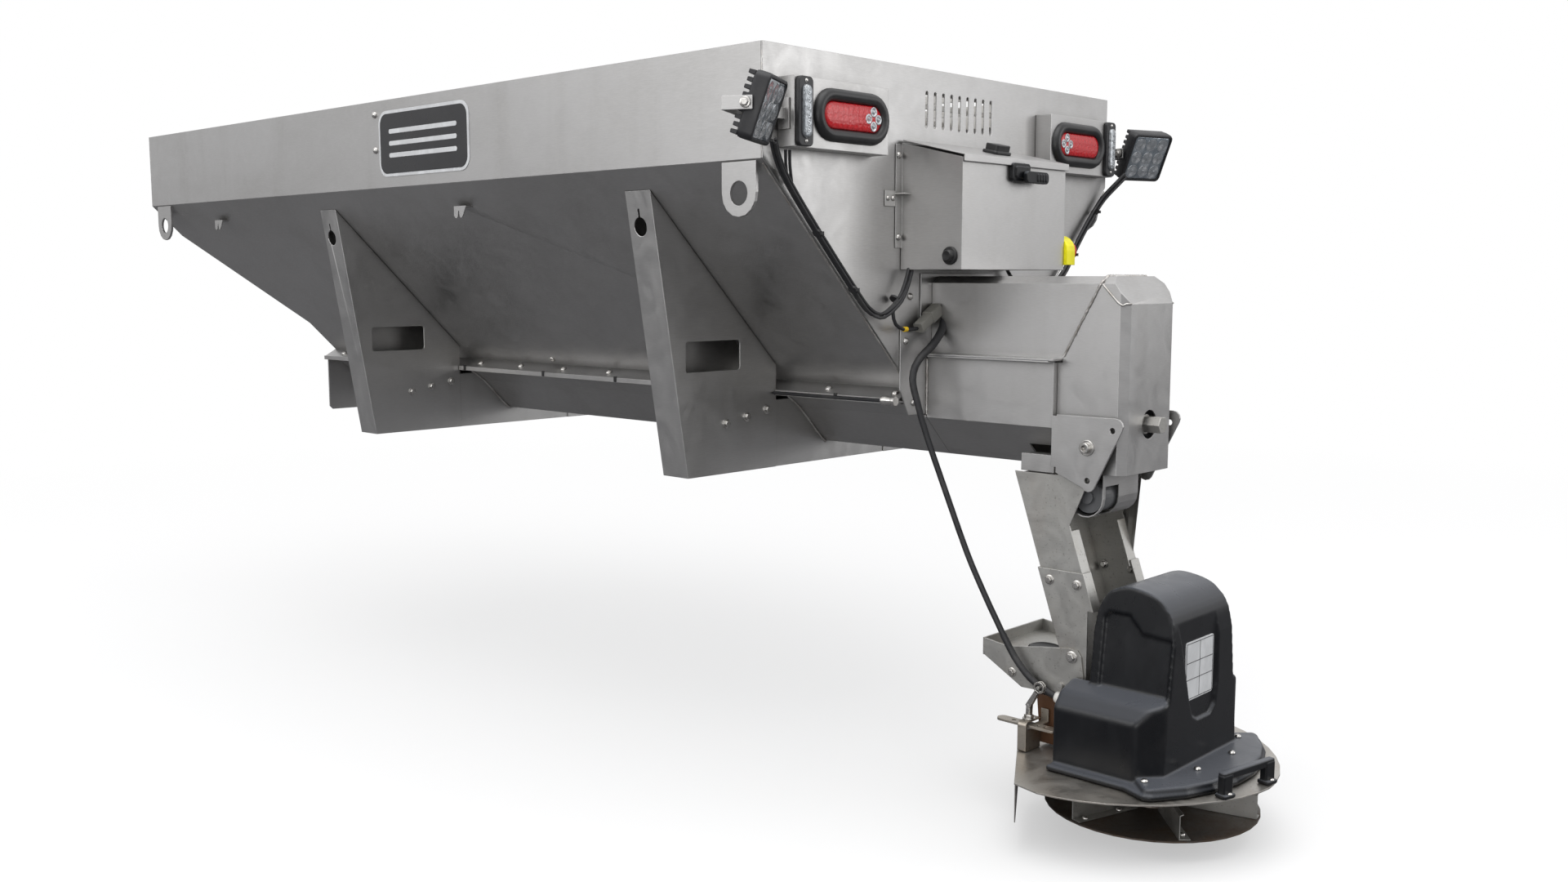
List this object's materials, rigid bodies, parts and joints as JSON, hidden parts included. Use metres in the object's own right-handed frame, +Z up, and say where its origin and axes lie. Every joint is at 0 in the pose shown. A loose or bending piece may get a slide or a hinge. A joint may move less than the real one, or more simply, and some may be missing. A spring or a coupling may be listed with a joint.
{
  "type": "salt spreader",
  "caption": "V-shaped steel hopper on legs with an auger, a folding chute behind it and a spinner disc hung below the chute.",
  "frame": {"origin": "middle of the rear cross member's sole, level with the soles of the legs", "axes": "+X to the right seen from behind, +Y forward to the cab, +Z up"},
  "size_m": [1.3751, 3.073, 1.34],
  "materials": {
    "hopper_steel": "matte stainless sheet",
    "worn_steel": "stainless, speckled by salt",
    "rusty_steel": "stainless stained brown",
    "motor_grey": "dark grey enamel",
    "black_plastic": "satin moulded",
    "black_aluminium": "satin black casting",
    "red_lens": "clear red moulding",
    "clear_lens": "clear moulding",
    "yellow_plastic": "glossy moulded",
    "red_plastic": "glossy moulded",
    "orange_rubber": "matte, dusty"
  },
  "bodies": {
    "hopper": {"side_panel_left": "hopper_steel", "side_panel_right": "hopper_steel", "rear_wall": "hopper_steel", "front_wall": "hopper_steel", "auger_trough": "hopper_steel", "top_screen": "worn_steel", "salt_baffle": "worn_steel", "leg_rear_left": "hopper_steel", "leg_rear_right": "hopper_steel", "leg_front_left": "hopper_steel", "leg_front_right": "hopper_steel", "cross_member_rear": "hopper_steel", "cross_member_front": "hopper_steel", "front_bearing_plate": "hopper_steel", "discharge_plate": "hopper_steel", "trough_extension": "hopper_steel", "tunnel_cover": "hopper_steel", "end_box": "hopper_steel", "auger_gearbox": "motor_grey", "auger_motor": "motor_grey", "motor_guard": "hopper_steel", "pivot_bracket_left": "hopper_steel", "pivot_bracket_right": "hopper_steel", "pivot_bolt_left": "worn_steel", "pivot_bolt_right": "worn_steel", "control_box": "hopper_steel", "estop_housing": "yellow_plastic", "lamp_box_left": "hopper_steel", "lamp_box_right": "hopper_steel", "tail_lamp_left": "red_lens", "tail_lamp_right": "red_lens", "marker_lamp_left": "clear_lens", "marker_lamp_right": "clear_lens", "work_lamp_bracket_left": "hopper_steel", "work_lamp_bracket_right": "hopper_steel"},
    "auger": {"auger": "worn_steel"},
    "box_lid": {"control_box_lid": "hopper_steel"},
    "latch": {"latch_lever": "black_plastic"},
    "stop_button": {"estop_button": "red_plastic"},
    "lamp_left": {"work_lamp_left": "black_aluminium"},
    "lamp_right": {"work_lamp_right": "black_aluminium"},
    "upper_chute": {"chute_upper": "worn_steel"},
    "lower_chute": {"chute_lower": "worn_steel", "front_tray": "worn_steel"},
    "spinner_unit": {"spinner_deck": "hopper_steel", "front_deflector": "hopper_steel", "lever_clamp": "worn_steel", "levelling_strut": "worn_steel", "spinner_cover": "black_plastic", "spinner_motor": "motor_grey", "deck_handle": "black_plastic"},
    "feed": {"feed_funnel": "orange_rubber", "funnel_lever": "worn_steel"},
    "rotor": {"spinner_disc": "rusty_steel", "vane_1": "worn_steel", "vane_2": "worn_steel", "vane_3": "worn_steel", "vane_4": "worn_steel", "vane_5": "worn_steel", "vane_6": "worn_steel"}
  },
  "joints": [
    {"name": "auger_spin", "type": "hinge", "parent": "hopper", "child": "auger", "pos_m": [0, 0, 0.128], "axis": [0, 1, 0], "continuous": true},
    {"name": "lid_hinge", "type": "hinge", "parent": "hopper", "child": "box_lid", "pos_m": [0, -0.3665, 0.64], "axis": [-1, 0, 0], "range_deg": [0, 85]},
    {"name": "latch_turn", "type": "hinge", "parent": "hopper", "child": "latch", "pos_m": [0, -0.5015, 0.574], "axis": [0, 1, 0], "range_deg": [0, 90]},
    {"name": "stop_press", "type": "slide", "parent": "hopper", "child": "stop_button", "axis": [-1, 0, 0], "range_m": [0, 0.005]},
    {"name": "lamp_tilt_left", "type": "hinge", "parent": "hopper", "child": "lamp_left", "pos_m": [-0.615, -0.4105, 0.66], "axis": [0.8829, 0.4695, 0], "range_deg": [-35, 18]},
    {"name": "lamp_tilt_right", "type": "hinge", "parent": "hopper", "child": "lamp_right", "pos_m": [0.615, -0.4105, 0.66], "axis": [0.9397, -0.342, 0], "range_deg": [-35, 12]},
    {"name": "chute_fold", "type": "hinge", "parent": "hopper", "child": "upper_chute", "pos_m": [0, -0.7225, 0.0896], "axis": [-1, 0, 0], "range_deg": [0, 122]},
    {"name": "chute_height", "type": "slide", "parent": "upper_chute", "child": "lower_chute", "axis": [0, -0.3256, -0.9455], "range_m": [-0.015, 0.05]},
    {"name": "spinner_level", "type": "hinge", "parent": "lower_chute", "child": "spinner_unit", "pos_m": [0, -0.6805, -0.35], "axis": [1, 0, 0], "range_deg": [-3, 3]},
    {"name": "feed_position", "type": "slide", "parent": "spinner_unit", "child": "feed", "axis": [0, 1, 0], "range_m": [-0.015, 0.015]},
    {"name": "spinner_spin", "type": "hinge", "parent": "spinner_unit", "child": "rotor", "pos_m": [0, -0.8112, -0.56], "axis": [0, 0, 1], "continuous": true}
  ]
}
